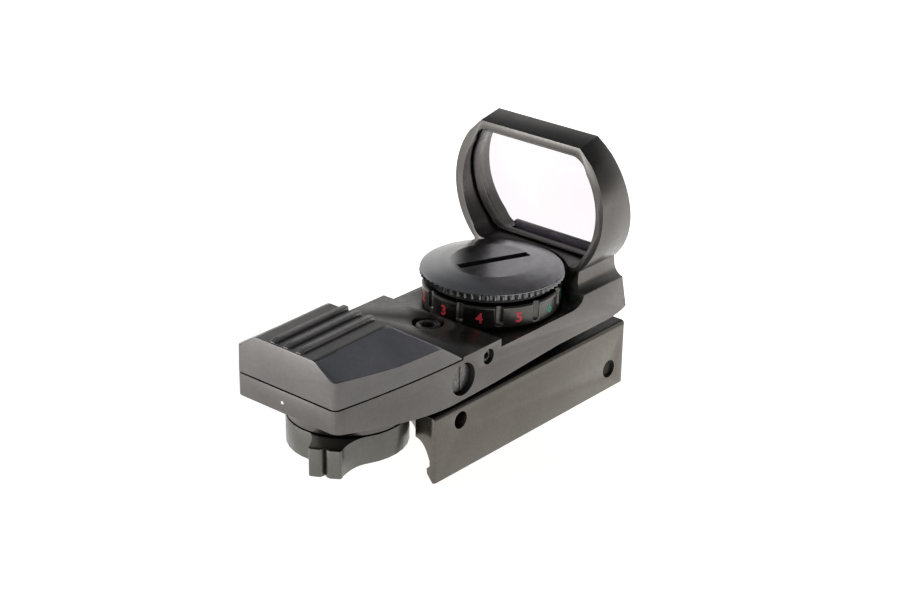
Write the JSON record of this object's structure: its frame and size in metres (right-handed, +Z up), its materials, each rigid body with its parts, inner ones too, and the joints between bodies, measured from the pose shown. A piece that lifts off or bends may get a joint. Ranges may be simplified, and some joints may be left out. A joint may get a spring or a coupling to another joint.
{
  "type": "open reflex red dot sight",
  "caption": "Open reflex sight with hooded slanted lens, numbered brightness dial under a knurled battery cap, reticle selector knob and a sliding-jaw rail clamp base.",
  "frame": {"origin": "middle of the base's footprint, on the plane of its lowest edge, in the sight's mid-plane", "axes": "+X the sight's right side, +Y forwards to the lens, +Z up"},
  "size_m": [0.037, 0.0821, 0.0547],
  "materials": {
    "body_black": "satin black anodised aluminium, die-cast",
    "base_black": "satin black anodised aluminium, extruded",
    "cap_black": "satin black anodised, knurled rim",
    "dial_black": "satin black anodised with filled numbers",
    "knob_black": "satin black anodised",
    "screw_steel": "black-oxide steel",
    "bright_steel": "plain steel",
    "spring_steel": "spring steel",
    "lens_glass": "thin coated glass with a faint magenta reflection",
    "drum_plastic": "moulded black plastic",
    "board_green": "green solder mask",
    "contact_brass": "plated spring contact",
    "emitter_red": "tinted clear epoxy",
    "lead_red": "PVC insulation"
  },
  "bodies": {
    "base": {"mount_base": "base_black", "pivot_stud": "screw_steel"},
    "clamp": {"clamp_jaw": "base_black", "front_clamp_washer": "bright_steel", "rear_clamp_washer": "bright_steel"},
    "front_clamp": {"front_clamp_screw": "screw_steel"},
    "rear_clamp": {"rear_clamp_screw": "screw_steel"},
    "swivel": {"swivel_block": "screw_steel", "elevation_pin": "bright_steel"},
    "sight_body": {"main_frame": "body_black", "lens": "lens_glass", "lens_retainer": "body_black", "rear_cover": "body_black", "cover_screw_left": "screw_steel", "cover_screw_right": "screw_steel", "emitter_window": "lens_glass", "emitter_board": "board_green", "red_green_led": "emitter_red", "emitter_lead": "lead_red", "battery_cup": "drum_plastic", "battery_contact": "contact_brass", "rheostat_board": "board_green", "dial_detent_plunger": "bright_steel", "dial_detent_spring": "spring_steel", "selector_detent_ball": "bright_steel", "selector_detent_spring": "spring_steel", "elevation_spring": "spring_steel", "windage_spring": "spring_steel"},
    "elevation_adjuster": {"elevation_screw": "screw_steel"},
    "windage_adjuster": {"windage_screw": "screw_steel"},
    "elevation_lock": {"elevation_lock_screw": "screw_steel"},
    "dial": {"brightness_dial": "dial_black", "dial_wiper": "contact_brass"},
    "cap": {"battery_cap": "cap_black"},
    "cell": {"battery_cell": "bright_steel"},
    "selector": {"selector_knob": "knob_black", "reticle_drum": "drum_plastic", "selector_screw": "screw_steel", "reticle_mask_dot": "bright_steel", "reticle_mask_cross": "bright_steel", "reticle_mask_ring_dots": "bright_steel", "reticle_mask_tee": "bright_steel"}
  },
  "joints": [
    {"name": "clamp_slide", "type": "slide", "parent": "base", "child": "clamp", "axis": [-1, 0, 0], "range_m": [0, 0.0035]},
    {"name": "front_clamp_turn", "type": "hinge", "parent": "clamp", "child": "front_clamp", "pos_m": [-0.017, 0.0355, 0.0045], "axis": [-1, 0, 0], "range_deg": [0, 1810]},
    {"name": "rear_clamp_turn", "type": "hinge", "parent": "clamp", "child": "rear_clamp", "pos_m": [-0.017, -0.0108, 0.0106], "axis": [-1, 0, 0], "range_deg": [0, 1810]},
    {"name": "windage_swing", "type": "hinge", "parent": "base", "child": "swivel", "pos_m": [0, 0.034, 0.0185], "axis": [0, 0, 1], "range_deg": [-0.7, 0.7]},
    {"name": "elevation_tilt", "type": "hinge", "parent": "swivel", "child": "sight_body", "pos_m": [0, 0.034, 0.0185], "axis": [1, 0, 0], "range_deg": [-0.7, 0.7]},
    {"name": "elevation_turn", "type": "hinge", "parent": "sight_body", "child": "elevation_adjuster", "pos_m": [0, -0.0032, 0.0215], "axis": [0, 0, 1], "range_deg": [-330, 330]},
    {"name": "windage_turn", "type": "hinge", "parent": "sight_body", "child": "windage_adjuster", "pos_m": [0.012, -0.0102, 0.0188], "axis": [1, 0, 0], "range_deg": [-390, 390]},
    {"name": "elevation_lock_turn", "type": "hinge", "parent": "sight_body", "child": "elevation_lock", "pos_m": [0.012, -0.00305, 0.0209], "axis": [1, 0, 0], "range_deg": [0, 360]},
    {"name": "dial_turn", "type": "hinge", "parent": "sight_body", "child": "dial", "pos_m": [0, 0.01562, 0.024], "axis": [0, 0, 1], "range_deg": [-229.1, 98.2]},
    {"name": "cap_lift", "type": "slide", "parent": "sight_body", "child": "cap", "axis": [0, 0, 1], "range_m": [0, 0.015]},
    {"name": "cell_lift", "type": "slide", "parent": "sight_body", "child": "cell", "axis": [0, 0, 1], "range_m": [0, 0.0076]},
    {"name": "selector_turn", "type": "hinge", "parent": "sight_body", "child": "selector", "pos_m": [0, -0.0255, 0.012], "axis": [0, 0, 1], "range_deg": [-120, 60]}
  ],
  "couplings": [
    {"joint": "front_clamp_turn", "follows": "clamp_slide", "rad_per_m": 8976},
    {"joint": "rear_clamp_turn", "follows": "clamp_slide", "rad_per_m": 8976},
    {"joint": "elevation_turn", "follows": "elevation_tilt", "ratio": 467},
    {"joint": "windage_turn", "follows": "windage_swing", "ratio": 555},
    {"joint": "cell_lift", "follows": "cap_lift", "ratio": 0.5}
  ]
}
